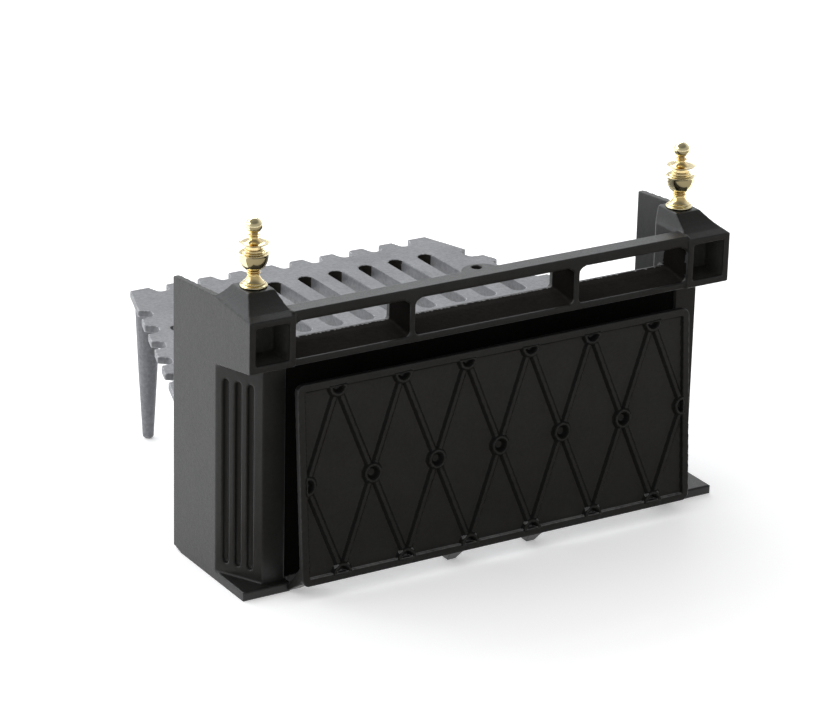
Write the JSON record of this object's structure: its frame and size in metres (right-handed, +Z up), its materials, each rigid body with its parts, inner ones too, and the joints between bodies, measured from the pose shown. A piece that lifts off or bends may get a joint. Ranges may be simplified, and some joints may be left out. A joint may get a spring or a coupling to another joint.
{
  "type": "fire front and grate set",
  "caption": "Cast-iron open-fire set: fluted fire front with brass finials, loose lattice ash cover and a tapered, slotted bottom grate on legs.",
  "frame": {"origin": "centre of the set's footprint, on the hearth", "axes": "+Z up; the front faces -Y and the grate runs back towards +Y; +X runs along the front, to the right as the picture sees it"},
  "size_m": [0.45, 0.3694, 0.3072],
  "materials": {
    "black_iron": "matt black stove paint",
    "grey_iron": "bare sand-cast, grainy",
    "brass": "polished",
    "steel": "plain zinc-plated"
  },
  "bodies": {
    "front": {"fire_front": "black_iron", "finial_foot_left": "brass", "finial_urn_left": "brass", "finial_knob_left": "brass", "finial_rod_left": "steel", "finial_washer_left": "steel", "finial_nut_left": "steel", "finial_foot_right": "brass", "finial_urn_right": "brass", "finial_knob_right": "brass", "finial_rod_right": "steel", "finial_washer_right": "steel", "finial_nut_right": "steel"},
    "cover": {"ash_cover": "black_iron"},
    "grate": {"bottom_grate": "grey_iron"}
  },
  "joints": [
    {"name": "cover_pull", "type": "slide", "parent": "front", "child": "cover", "axis": [0, -1, 0], "range_m": [0, 0.15]},
    {"name": "grate_draw", "type": "slide", "parent": "front", "child": "grate", "axis": [0, 1, 0], "range_m": [0, 0.2]}
  ]
}
